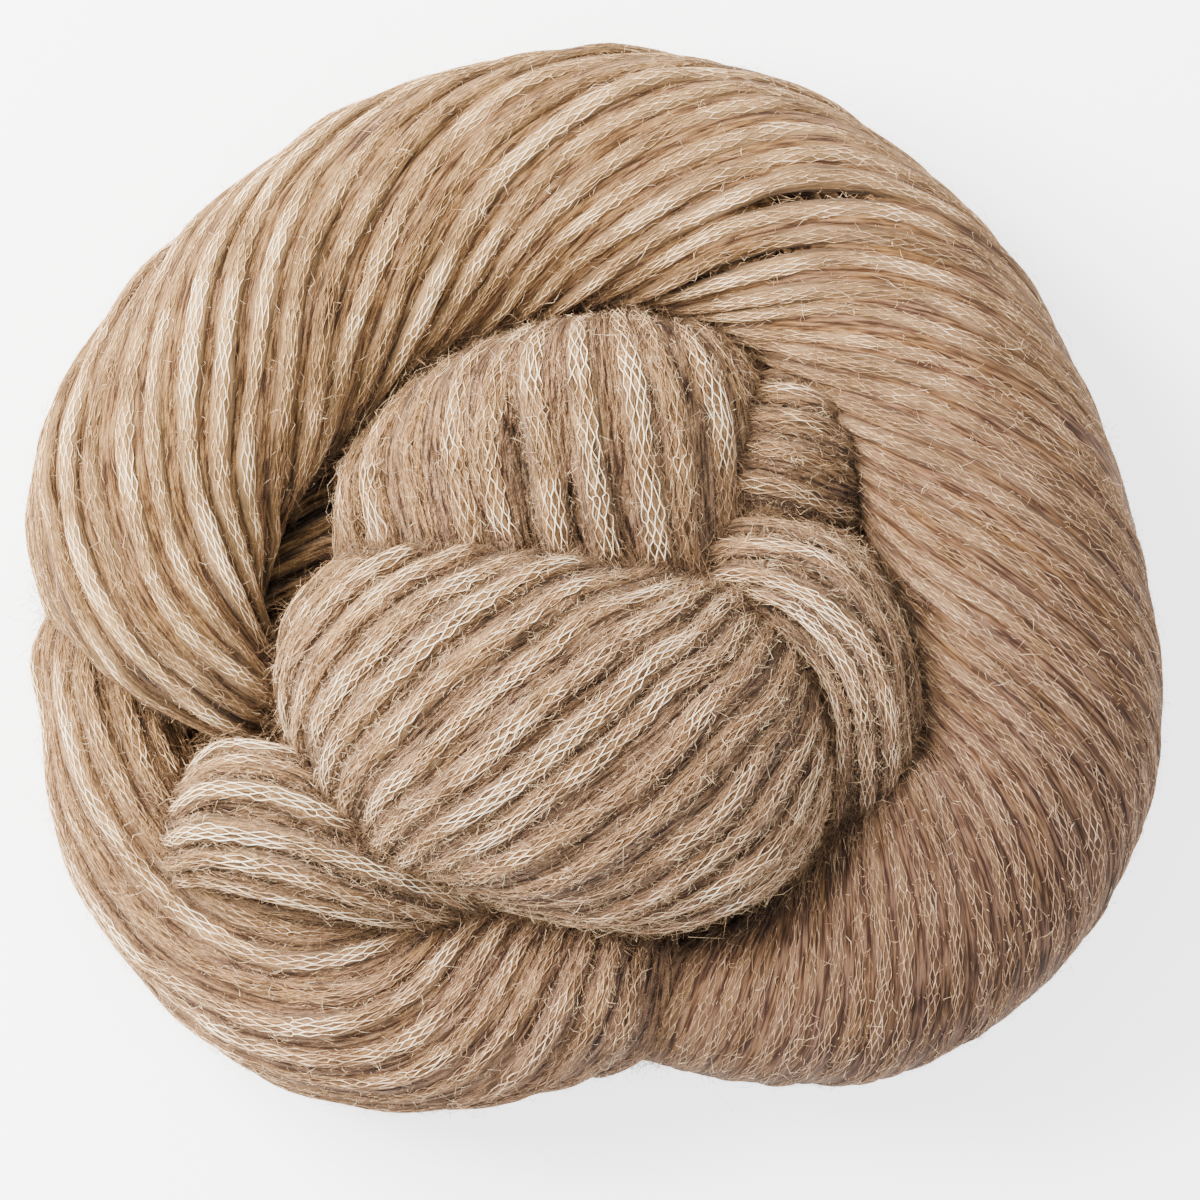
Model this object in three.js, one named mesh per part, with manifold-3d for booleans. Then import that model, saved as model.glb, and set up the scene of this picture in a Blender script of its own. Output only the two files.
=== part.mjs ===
// A hank of soft brushed yarn, twisted and coiled into a round bun that rests on its flat underside.
// The hank is one solid. Eight coils of it are swept along their own paths, each with the raised,
// slanting twist of its strands, and then joined: the outer ring and the tail that closes it, the
// curl where the tail turns in, three bundles in the middle, the crown on top, and the plain heart
// of wound yarn that they all lie on.

import * as THREE from "three";
import { mergeVertices } from "three/addons/utils/BufferGeometryUtils.js";
import Module from "manifold-3d";

// Driving sizes, in millimetres. X is to the right, Y to the back and Z up from the surface.
// Where a coil narrows, its ridges rise by no more than a share of its half width.
const STRAND_PITCH = 6.2;
const STRANDS_IN_A_RIDGE = 2;
const RIDGE_PITCH = STRANDS_IN_A_RIDGE * STRAND_PITCH;
const RIDGE_RISE = 1.5;
const RISE_IN_A_NARROW_COIL = 0.25;
const STEP_ALONG_RIDGE = 12;
const SECTION_FULLNESS = 2.2;
const TURN_SMOOTHING = 9;
const YARN_COLOUR = 0xbd9873;

// How far each of a ridge's four lines of points lies below its crest, as a share of the rise:
// the groove, one flank, the crest and the other flank.
const RIDGE_PROFILE = [1, 0.28, 0, 0.28];
const PLAIN_LINES = 28;

// Each coil is a table with a row for each section along its path. "wide" and "high" are half
// sizes, and "twist" is the angle in degrees at which the strands cross the path on top, to the
// left of the way that the rows run. Sections stand upright, square to the path, or square to
// "heading" where a coil has one, in degrees from X. A plain coil has no ridges.
const COLUMNS = ["x", "y", "z", "wide", "high", "twist"];

const outerRing = {
  rows: [
    [-46, -22.5, 13, 3, 10, 4],
    [-54.5, -17.5, 18, 8.5, 17, 8],
    [-63.5, -8, 20.5, 15, 19.5, 12],
    [-68, 3, 19.5, 19.5, 20.5, 18],
    [-66.5, 17, 19.5, 20.5, 20.5, 24],
    [-56, 32, 19.5, 21, 20.5, 27],
    [-41, 47, 19.5, 21, 20.5, 28],
    [-19.5, 58, 19.5, 21, 20.5, 28],
    [3.5, 61.5, 19.5, 21, 20.5, 31],
    [25.5, 57, 19.5, 20, 20.5, 36],
    [45.5, 41.5, 19.5, 20, 20.5, 40],
    [59, 18, 19.5, 20.5, 20.5, 45],
    [66.5, -9.5, 19.5, 20.5, 20.5, 52],
    [66.5, -30, 19.5, 20, 20.5, 60],
    [55.5, -48, 19.5, 20.5, 20.5, 63],
    [39.5, -60, 18.5, 18.5, 19.5, 65],
    [29, -64.5, 17, 14.5, 18, 67],
    [18.5, -66, 15, 12, 16, 68],
    [9, -66.5, 12, 9, 13, 68],
    [2, -67, 9, 6, 10, 68],
  ],
};

const tail = {
  rows: [
    [-70.5, 4, 11, 6, 9, 0],
    [-75.5, -9.5, 14, 11, 13, 0],
    [-75.5, -20, 14.5, 11, 15, 2],
    [-72, -35.5, 15, 13, 15.5, 4],
    [-63, -50.5, 15, 14, 16, 6],
    [-48, -61.5, 15.5, 16, 16.5, 10],
    [-32, -66.5, 16, 16, 17, 18],
    [-18, -66, 16, 16, 17, 36],
    [-6.5, -64.5, 16, 14.5, 17, 56],
    [3, -63, 16, 12.5, 17, 68],
    [10.5, -62, 13, 9.5, 14, 74],
    [17, -61, 9, 5.5, 10, 76],
  ],
};

const curl = {
  heading: -10,
  rows: [
    [-69.5, -39.5, 12, 2.5, 8, 0],
    [-65.5, -39, 18, 9.5, 15, 0],
    [-59, -37, 21, 13.5, 19, 0],
    [-47.5, -39, 22, 13.5, 20, 0],
    [-35, -43.5, 21, 11, 18, 0],
    [-24, -47.5, 17, 8, 14, 0],
    [-16.5, -50.5, 13, 4, 8, 0],
  ],
};

const backBundle = {
  heading: 270,
  rows: [
    [3, 42, 16, 6, 13, 18],
    [1.5, 38.5, 21, 17, 20, 18],
    [-1, 32, 23.5, 27, 23.5, 18],
    [-3.5, 25, 24, 31.5, 24, 18],
    [-6, 17, 23.5, 34, 23.5, 16],
    [-7.5, 7.5, 22.5, 34, 22.5, 12],
    [-7.5, -1.5, 20, 32, 20, 10],
    [-7.5, -9.5, 16, 23, 14, 10],
  ],
};

const rightBundle = {
  rows: [
    [7, -1, 12, 4.5, 9, 0],
    [14.5, 2, 19, 7, 15, 0],
    [24, 3, 23, 9, 19, 0],
    [33.5, -1, 24, 10, 20, 0],
    [40, -10, 23, 9.5, 20, 0],
    [42, -21, 22, 8.5, 19, 0],
    [41, -33.5, 17, 8, 15, 0],
    [38.5, -43.5, 12, 5.5, 10, 0],
  ],
};

const sideBundle = {
  rows: [
    [13, 20, 16, 8, 12, 0],
    [22.5, 20, 20, 12.5, 18, 0],
    [31.5, 18.5, 20, 13.5, 19, 0],
    [39.5, 15.5, 16, 12.5, 15, 0],
    [45.5, 12.5, 10, 8, 9, 0],
  ],
};

const crown = {
  heading: 50,
  rows: [
    [-37, -43, 18, 3, 12, 12],
    [-33.5, -39, 23, 14.5, 20, 12],
    [-29.5, -35.5, 26, 25.5, 24.5, 12],
    [-23, -32, 28, 34.5, 27, 12],
    [-15, -27.5, 29, 40, 28.5, 12],
    [-6, -22.5, 29.5, 42, 29.5, 12],
    [3, -18, 29, 39.5, 28.5, 12],
    [11, -13, 28, 33, 26.5, 12],
    [18, -10, 26, 24.5, 24, 12],
    [23, -6, 23, 16, 20, 12],
    [26.5, -3.5, 18, 4.5, 12, 12],
  ],
};

const heart = {
  heading: 0,
  plain: true,
  rows: [
    [-67.5, -21.5, 7, 6, 8, 0],
    [-57.5, -15.5, 10, 18.5, 11, 0],
    [-43, -11, 12, 34, 13, 0],
    [-22.5, -8, 13, 48, 14, 0],
    [0.5, -6.5, 13.5, 52.5, 14.5, 0],
    [24, -6.5, 13, 47.5, 14, 0],
    [39.5, -8, 11, 32, 12, 0],
    [47, -11, 8, 9.5, 9, 0],
  ],
};

// One smooth curve through a column of a coil's table, at a place counted in rows.
function between(rows, column, place) {
  const last = rows.length - 1;
  const row = Math.min(Math.floor(place), last - 1);
  const part = place - row;
  const at = (index) => rows[index][column];
  const before = row > 0 ? at(row - 1) : 2 * at(0) - at(1);
  const after = row + 2 <= last ? at(row + 2) : 2 * at(last) - at(last - 1);
  const [here, next] = [at(row), at(row + 1)];
  return 0.5 * (2 * here + (next - before) * part
    + (2 * before - 5 * here + 4 * next - after) * part ** 2
    + (3 * here - before - 3 * next + after) * part ** 3);
}

function sectionAt(coil, place) {
  const section = {};
  COLUMNS.forEach((name, column) => {
    section[name] = between(coil.rows, column, place);
  });
  return section;
}

// The path in small steps, each with its distance along it and its smoothed heading in plan.
function walkPath(coil) {
  const stepsPerRow = 24;
  const count = (coil.rows.length - 1) * stepsPerRow;
  const path = [];
  for (let step = 0; step <= count; step += 1) {
    path.push(sectionAt(coil, step / stepsPerRow));
  }
  path.forEach((section, step) => {
    const from = path[Math.max(step - 1, 0)];
    const to = path[Math.min(step + 1, count)];
    section.way = new THREE.Vector2(to.x - from.x, to.y - from.y).normalize();
    const previous = path[Math.max(step - 1, 0)];
    const moved = Math.hypot(section.x - previous.x, section.y - previous.y, section.z - previous.z);
    section.distance = step === 0 ? 0 : previous.distance + moved;
  });
  for (const section of path) {
    const sum = new THREE.Vector2();
    for (const other of path) {
      const apart = (other.distance - section.distance) / TURN_SMOOTHING;
      sum.addScaledVector(other.way, Math.exp(-0.5 * apart * apart));
    }
    const heading = coil.heading === undefined
      ? sum.angle()
      : THREE.MathUtils.degToRad(coil.heading);
    section.left = new THREE.Vector2(-Math.sin(heading), Math.cos(heading));
  }
  return path;
}

// Points round a full oval section with their outward directions, and the distance round to each.
function sectionOutline(section) {
  const corners = 96;
  const power = 2 / SECTION_FULLNESS;
  const full = (value) => Math.sign(value) * Math.abs(value) ** power;
  const points = [];
  let round = 0;
  for (let corner = 0; corner <= corners; corner += 1) {
    const angle = (2 * Math.PI * corner) / corners;
    const side = section.wide * full(Math.sin(angle));
    const up = section.high * full(Math.cos(angle));
    const outward = new THREE.Vector2(
      Math.sign(side) * Math.abs(side / section.wide) ** (SECTION_FULLNESS - 1) / section.wide,
      Math.sign(up) * Math.abs(up / section.high) ** (SECTION_FULLNESS - 1) / section.high,
    ).normalize();
    if (corner > 0) {
      round += Math.hypot(side - points[corner - 1].side, up - points[corner - 1].up);
    }
    points.push({ side, up, outward, round });
  }
  return { points, girth: round };
}

function pointOnOutline(outline, share) {
  const wanted = (share - Math.floor(share)) * outline.girth;
  const next = Math.max(outline.points.findIndex((point) => point.round >= wanted), 1);
  const [low, high] = [outline.points[next - 1], outline.points[next]];
  const part = (wanted - low.round) / (high.round - low.round);
  return {
    side: THREE.MathUtils.lerp(low.side, high.side, part),
    up: THREE.MathUtils.lerp(low.up, high.up, part),
    outward: low.outward.clone().lerp(high.outward, part).normalize(),
  };
}

// A closed coil whose ridges wind round the path at the twist of its table. The lines of points
// follow the ridges, so each ridge stays sharp, and the two ends are closed with fans.
function coilGeometry(coil) {
  const path = walkPath(coil);
  const widest = Math.max(...path.map((section) => (
    sectionOutline(section).girth * Math.cos(THREE.MathUtils.degToRad(section.twist)))));
  const ridges = Math.max(Math.round(widest / RIDGE_PITCH), 3);
  const lines = coil.plain ? PLAIN_LINES : ridges * RIDGE_PROFILE.length;
  const positions = [];
  let wound = 0;
  let sinceLast = STEP_ALONG_RIDGE;
  let rings = 0;
  path.forEach((section, step) => {
    const twist = THREE.MathUtils.degToRad(section.twist);
    const outline = sectionOutline(section);
    if (step > 0) {
      const previous = path[step - 1];
      const moved = section.distance - previous.distance;
      wound += (moved * Math.tan(twist)) / outline.girth;
      sinceLast += moved / Math.cos(twist) + Math.abs(section.wide - previous.wide);
    }
    if (sinceLast < STEP_ALONG_RIDGE && step < path.length - 1) {
      return;
    }
    sinceLast = 0;
    rings += 1;
    const rise = coil.plain ? 0 : Math.min(RIDGE_RISE, RISE_IN_A_NARROW_COIL * section.wide);
    for (let line = 0; line < lines; line += 1) {
      const { side, up, outward } = pointOnOutline(outline, line / lines + wound);
      const sunk = rise * RIDGE_PROFILE[line % RIDGE_PROFILE.length];
      const across = side - sunk * outward.x;
      positions.push(
        section.x + across * section.left.x,
        section.y + across * section.left.y,
        section.z + up - sunk * outward.y,
      );
    }
  });
  const triangles = [];
  for (let ring = 0; ring < rings - 1; ring += 1) {
    for (let line = 0; line < lines; line += 1) {
      const next = (line + 1) % lines;
      const [a, b] = [ring * lines + line, ring * lines + next];
      const [c, d] = [a + lines, b + lines];
      triangles.push(a, c, b, b, c, d);
    }
  }
  for (const [ring, section, turned] of [[0, path[0], false], [rings - 1, path.at(-1), true]]) {
    const centre = positions.length / 3;
    positions.push(section.x, section.y, section.z);
    for (let line = 0; line < lines; line += 1) {
      const [a, b] = [ring * lines + line, ring * lines + ((line + 1) % lines)];
      triangles.push(centre, ...(turned ? [b, a] : [a, b]));
    }
  }
  const geometry = new THREE.BufferGeometry();
  geometry.setAttribute("position", new THREE.Float32BufferAttribute(positions, 3));
  geometry.setIndex(triangles);
  return geometry;
}

const wasm = await Module();
wasm.setup();

function solidOf(geometry) {
  const plain = geometry.clone();
  plain.deleteAttribute("normal");
  plain.deleteAttribute("uv");
  const samePlace = 1e-4;
  const merged = mergeVertices(plain, samePlace);
  return new wasm.Manifold(new wasm.Mesh({
    numProp: 3,
    vertProperties: new Float32Array(merged.attributes.position.array),
    triVerts: new Uint32Array(merged.index.array),
  }));
}

function geometryOf(solid) {
  const mesh = solid.getMesh();
  const geometry = new THREE.BufferGeometry();
  geometry.setAttribute("position", new THREE.BufferAttribute(mesh.vertProperties, 3));
  geometry.setIndex(new THREE.BufferAttribute(mesh.triVerts, 1));
  geometry.computeVertexNormals();
  return geometry;
}

// Everything below the surface is cut away, which leaves the flat underside the hank rests on.
function restingOnSurface(solid) {
  const size = 400;
  const below = new THREE.BoxGeometry(size, size, size).translate(0, 0, -size / 2);
  return solid.subtract(solidOf(below));
}

// Where coils close off a pocket between them, the pocket's wall is left out and it is filled.
function outerShell(solid) {
  return solid.decompose().sort((one, other) => other.volume() - one.volume())[0];
}

const coils = [heart, outerRing, tail, curl, backBundle, rightBundle, sideBundle, crown];
const joined = coils.map((coil) => solidOf(coilGeometry(coil))).reduce((all, coil) => all.add(coil));

const hank = new THREE.Mesh(
  geometryOf(outerShell(restingOnSurface(joined))),
  new THREE.MeshStandardMaterial({ color: YARN_COLOUR, roughness: 0.95, metalness: 0 }),
);
hank.name = "hank";

const group = new THREE.Group();
group.add(hank);

export default group;
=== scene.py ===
"""A hank of soft brushed yarn, twisted and coiled into a round bun, dressed strand by strand."""

import math

import bpy
import numpy as np
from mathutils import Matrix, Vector


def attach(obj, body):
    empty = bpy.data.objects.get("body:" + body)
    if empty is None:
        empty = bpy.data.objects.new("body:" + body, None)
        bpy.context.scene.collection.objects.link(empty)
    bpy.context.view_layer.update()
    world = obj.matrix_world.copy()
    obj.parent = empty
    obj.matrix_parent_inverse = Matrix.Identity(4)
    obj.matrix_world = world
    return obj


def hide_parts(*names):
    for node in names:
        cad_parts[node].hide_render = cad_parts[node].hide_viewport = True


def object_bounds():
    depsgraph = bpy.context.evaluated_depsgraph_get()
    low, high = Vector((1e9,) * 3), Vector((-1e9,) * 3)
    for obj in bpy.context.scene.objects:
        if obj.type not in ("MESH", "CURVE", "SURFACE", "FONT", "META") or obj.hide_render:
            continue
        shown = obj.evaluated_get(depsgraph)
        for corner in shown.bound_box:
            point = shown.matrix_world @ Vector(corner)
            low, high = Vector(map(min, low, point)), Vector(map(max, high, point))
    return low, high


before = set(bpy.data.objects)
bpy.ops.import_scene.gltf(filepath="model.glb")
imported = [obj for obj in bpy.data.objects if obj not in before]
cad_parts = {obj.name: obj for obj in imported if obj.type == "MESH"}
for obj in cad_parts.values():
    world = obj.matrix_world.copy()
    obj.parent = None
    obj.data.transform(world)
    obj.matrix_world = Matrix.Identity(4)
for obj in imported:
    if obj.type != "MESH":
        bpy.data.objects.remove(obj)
cad_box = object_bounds()

# Sizes are millimetres in the solid's frame, and become metres when a mesh is made. Nothing lies
# below LOWEST, so the hank rests on the floor and not in it.
MM = 0.001
LOWEST = 0.08
SEED = 41

# A coil's sections are full ovals, no thinner than THINNEST from middle to edge. Its path has
# CURVE_STEPS between two rows of the table and a section at each GRID_STEP, its heading is
# smoothed, and it is squeezed from the first share of its path on, fully from the second.
SECTION_FULLNESS = 2.2
THINNEST = 0.8
CURVE_STEPS = 60
TURN_SMOOTHING = 9.0
GRID_STEP = 0.5
SECTION_POINTS = 181
SQUEEZED = (0.32, 0.62)

# A point further than PAST_END beyond a path's ends has the depth OUTSIDE. The section that is
# nearest to a point is looked for among every COARSE one.
PAST_END = 3.0
OUTSIDE = -9.0
COARSE = 4

# A strand's width against its share of the coil's surface and its height against its width, each
# where the strands lie loose and where they are packed, and the least and most room it is given.
# Strands reach to REACH of the girth from the coil's top.
STRAND_WIDTH_SHARE = (0.74, 0.96)
STRAND_FLATNESS = (0.84, 0.52)
ROOM = (2.2, 8.4)
REACH = 0.488
STRAND_STEP = 2.0
STRAND_CORNERS = 10

# How far a strand lies aside, in pitches, and how far it stands out of the coil's surface: by lot
# within RISE, from LEAST_PROUD over the fluff to MOST_PROUD, and PACKED_FLAT less where it is
# packed. The fluff is PACKED_FLUFF deep there.
ASIDE = 0.12
RISE = (-0.75, 0.4)
LEAST_PROUD = 0.4
MOST_PROUD = 0.8
PACKED_FLAT = 0.55
PACKED_FLUFF = 0.3

# A strand is left out where it lies deeper than BURIED in another coil. The rest are the least
# grid steps and length of a strand's line, the least points of what is kept of a strand and of a
# net's thread, and the least loops of a net.
BURIED = 4.5
LEAST_STEPS = 8
LEAST_LENGTH = 10.0
LEAST_STRAND = 4
LEAST_THREAD = 3
LEAST_LOOPS = 2

# Where the strands are packed: how much darker they are, as painted shade on the ring's side away
# from the window light, how much softer their grain, how much lighter the fluff between them and how
# much dimmer their net.
PACKED = {"shade": 0.24, "soften": 0.75, "fill": 0.45, "dim": 0.35}

# The warmth at the frame's middle and its slopes along x and y: greyer and darker towards the front
# right, partly the yarn's own tone and partly painted shade away from the window light. Then the
# start, the gain for each unit and the least of three slopes: the lightness over the warmth, which is
# painted shade, a strand's thickness over its points from the end, and a thread's paleness over how
# far it faces up, which is painted light on the net's tops.
WARMTH = (0.66, -0.0042, 0.0040)
LIGHTNESS = (0.20, 1.15, 0.42)
TAPER = (0.35, 0.25, 0.0)
FACING = (0.3, 0.9, 0.35)

# The painted shade where coils meet starts SEAM_START outside the other coil and is full SEAM_WIDTH on.
SEAM_SHADE = 0.68
SEAM_START = 3.0
SEAM_WIDTH = 4.0

# What a strand keeps of its tone where it is least light, in the painted shade towards the front
# right, how fast its pale band fades from the top, and how far its map moves across for its shift
# along. Its tone and shift are drawn by lot.
# Its net gains PROUD_NET for each millimetre that it stands out more than MEAN_RISE.
LEAST_TONE = 0.4
BAND_FALL = 2.2
MAP_OFFSET = 0.37
OWN_TONE = (0.6, 1.0)
OWN_SHIFT = 900
PROUD_NET = 0.35
MEAN_RISE = -0.2

# The knitted net: a thread's zigzag over one loop, by the share of the loop's length and by how
# far it stands to one side or the other, where 1 is halfway to its neighbour.
LOOP_LENGTH = 4.1
THREAD_CORNERS = 3
ZIGZAG = {"along": np.array([0.0, 0.16, 0.5, 0.66]), "apart": np.array([0.92, 0.92, -0.92, -0.92])}

# How uneven the net is: its lean, its spacing, its knots and its points along the strand, its
# zigzags, and its colour from place to place. "edge" is what each thread loses from the middle.
UNEVEN = {
    "lean": 0.12, "spacing": (0.88, 1.12), "knots": 0.17, "points": 0.07, "zigzag": (0.45, 1.1),
    "cream": 0.2, "edge": 0.13,
}

# A thread is at least FAINT_NET pale, and FAINT_SHARE of its own strength more. It fades over
# CLEAR_WIDTH to nothing at CLEAR_DEPTH in another coil, as painted shade in the seam. It is drawn
# where it is paler than SEEN_CREAM, less deep than SEEN_DEPTH, faces up more than SEEN_FACING and
# is above SEEN_HEIGHT.
FAINT_NET = 0.20
FAINT_SHARE = 0.25
CLEAR_DEPTH = 1.2
CLEAR_WIDTH = 3.0
SEEN_CREAM = 0.06
SEEN_DEPTH = 1.0
SEEN_FACING = -0.45
SEEN_HEIGHT = 1.5

# A thread lies LIFT over the strand, and sinks by SINKING times what its cream lacks to PROUD.
# Its radius is a share of the look's, the second part for its cream, and less on a strand with
# half a width below FULL_STRAND, down to THINNED.
LIFT = 0.10
SINKING = 0.3
PROUD = 0.4
THREAD_SIZE = (0.72, 0.4)
FULL_STRAND = 2.2
THINNED = 0.62

# The loose fibres' share of a coil's, the angle at which they are rooted round the strand, from
# its top in radians, their length and radius, how far they stand up, and how light they are: those
# of the seams dark, as painted shade.
FIBRE_NAMES = ("share", "angle", "length", "radius", "stand", "light")
FIBRES = {
    "groove": (0.50, (1.35, 0.35), 2.3, 0.032, (0.0, 0.35), 0.55),
    "top": (0.32, (0.5, 0.45), 3.4, 0.030, (-0.05, 0.2), 0.72),
    "seam": (0.20, (0.8, 0.6), 4.6, 0.028, (0.1, 0.5), 0.24),
}

# They grow where the strand faces up more than FIBRE_FACING, no deeper than FIBRE_DEPTH in another
# coil, and those of the seams within SEAM_DEPTHS. None is rooted further than ROOT_ANGLE from
# the top. They differ in lightness by LIGHT_SPREAD.
FIBRE_FACING = -0.35
FIBRE_DEPTH = 2.5
SEAM_DEPTHS = (-2.6, 2.4)
ROOT_ANGLE = 2.0
LIGHT_SPREAD = 0.22

# How a fibre lies along the strand and across it, how evenly long fibres are, how much they curl,
# how far along their bend is and how far their tip goes and rises, how deep their root is, and
# the least and most of their radius. A fibre's corners are its root, its tip and a ring of three.
LYING = (1.3, 0.8)
EVENNESS = 5.0
CURL = 0.07
BEND = 0.42
TIP = (0.72, 0.7)
ROOT_DEPTH = 0.2
FIBRE_SIZE = (0.7, 1.3)
FIBRE_FACES = np.array([(0, 2, 3), (0, 3, 4), (0, 4, 2), (1, 3, 2), (1, 4, 3), (1, 2, 4)])
FIBRE_CORNERS = 5

# The fluff's lines round a coil, more where it has partings, the grid sections from one of its
# rows to the next, and the least that it keeps of a coil. Then how deep a parting goes, how much
# of the tone its painted shade takes, how wide its slit is and how fast its push fades, in strands.
FLUFF_LINES = 64
PARTED_LINES = 128
FLUFF_ROWS = 4
FLUFF_CORE = 0.1
PARTING_DEPTH = 3.2
PARTING_SHADE = 0.94
PARTING_SLIT = 0.22
PARTING_PUSH = 1.2

# The fibre's grains are noises, with so many grains to the millimetre along the strand, across it
# and up, and to the metre for the net's fuzz. What the curls read is pushed by PUSH, and each of
# their noises has its own thinness of line.
GRAINS = {"Streaks": (0.15, 1.5, 1.0), "Hairs": (0.5, 3.2, 1.0), "Mottle": (0.06, 0.2, 1.0)}
RAISED_GRAIN = (0.8, 3.2, 1.0)
FUZZ_GRAIN = (1100.0, 1100.0, 1100.0)
PUSH_GRAIN = (1.1, 1.9, 1.0)
PUSH = (2.6, 1.3, 0.0)
CURLS = (((0.8, 1.8, 1.0), 17.0), ((1.9, 1.4, 1.0), 19.0), ((2.0, 3.0, 1.0), 18.0))

# What a value is multiplied by and what is added: the streaks for the clumps of curls, the way
# from the top for the warmth, which greys the sides as painted shade, and the crispness for the
# painted shade of the sides. Then how far that shade's edge, the net's colour and the warmth swing,
# and how warm the fluff is.
CLUMPS = (4.0, -1.4)
WARM_TOP = (-1.6, 0.35)
SHADE_SHARE = (0.6, 0.4)
RAGGED = 0.24
FUZZ = 1.2
WARM_SWING = 1.1
FLUFF_WARMTH = 0.9

# How each coil's yarn looks: how pale its net is, how many threads it has, how far apart they are
# round the strand and their radius, how much they pale the strand beneath, the loose fibres for
# each millimetre of strand, how far the fluff lies under the strands and its tone, dark in part as
# painted shade of the grooves, how crisp the hairs are, and the strands' tone. The heart is buried
# and has no net; its dark tones are painted shade.
LOOK_NAMES = ("cream", "threads", "spacing", "thread", "band", "fibres", "fluff_depth",
              "fluff_tone", "crisp", "tone")
LOOKS = {
    "outer_ring": (0.72, (5, 6), 0.26, 0.112, 0.36, 2.5, 1.0, 0.57, 0.42, 0.33),
    "tail": (0.85, (5, 6, 7), 0.25, 0.112, 0.20, 6.5, 1.1, 0.70, 0.7, 1.0),
    "curl": (1.0, (5, 6), 0.25, 0.098, 0.12, 12.0, 1.4, 0.58, 0.9, 0.8),
    "back_bundle": (1.0, (5, 6, 7), 0.25, 0.095, 0.10, 13.0, 1.3, 0.68, 1.0, 1.0),
    "right_bundle": (1.0, (5, 6), 0.25, 0.098, 0.10, 12.0, 1.2, 0.58, 0.9, 1.0),
    "side_bundle": (0.8, (5, 6), 0.27, 0.098, 0.10, 10.0, 1.1, 0.58, 0.8, 1.0),
    "crown": (1.0, (5, 6, 7), 0.25, 0.092, 0.10, 14.0, 1.5, 0.56, 1.0, 1.0),
    "heart": (0.0, (), 0.0, 0.0, 0.0, 0.0, 3.0, 0.2, 0.5, 0.2),
}

# How strongly the net of single strands shows, as the photo shows it: from the strand of the
# number given downward, one by one. The others are drawn from LOT, and each is moved a little.
STRENGTHS = {
    "outer_ring": {7: (0.9, 0.9, 0.9, 0.5, 0.35, 0.45, 0.85, 0.4, 0.9, 0.9, 0.95, 0.75, 0.9, 0.35),
                   -11: (0.75, 0.6, 0.95, 0.7, 0.65, 0.9, 0.3, 0.95, 0.6, 0.7)},
    "tail": {1: (0.6, 0.5, 0.4, 0.95, 0.2, 0.75, 0.9, 0.8, 0.6, 0.7, 0.4, 0.1, 0.0)},
    "curl": {4: (0.8, 0.85, 0.25, 0.9, 1.0, 0.5, 0.85, 0.7)},
    "back_bundle": {4: (0.3, 0.6, 0.8, 0.15, 0.95, 1.0, 0.9, 0.8, 0.85, 0.1, 0.5, 0.1)},
    "right_bundle": {1: (0.3, 0.6, 1.0, 0.95, 0.8, 0.4)},
    "crown": {6: (0.6, 0.7, 0.55, 0.9, 0.9, 0.5, 1.0, 0.6, 0.95, 0.95, 0.45, 0.25, 0.9, 0.9,
                  0.95, 0.8)},
}
LOT = (0.15, 0.35, 0.5, 0.65, 0.85)
OWN_STRENGTH = 0.08
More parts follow.
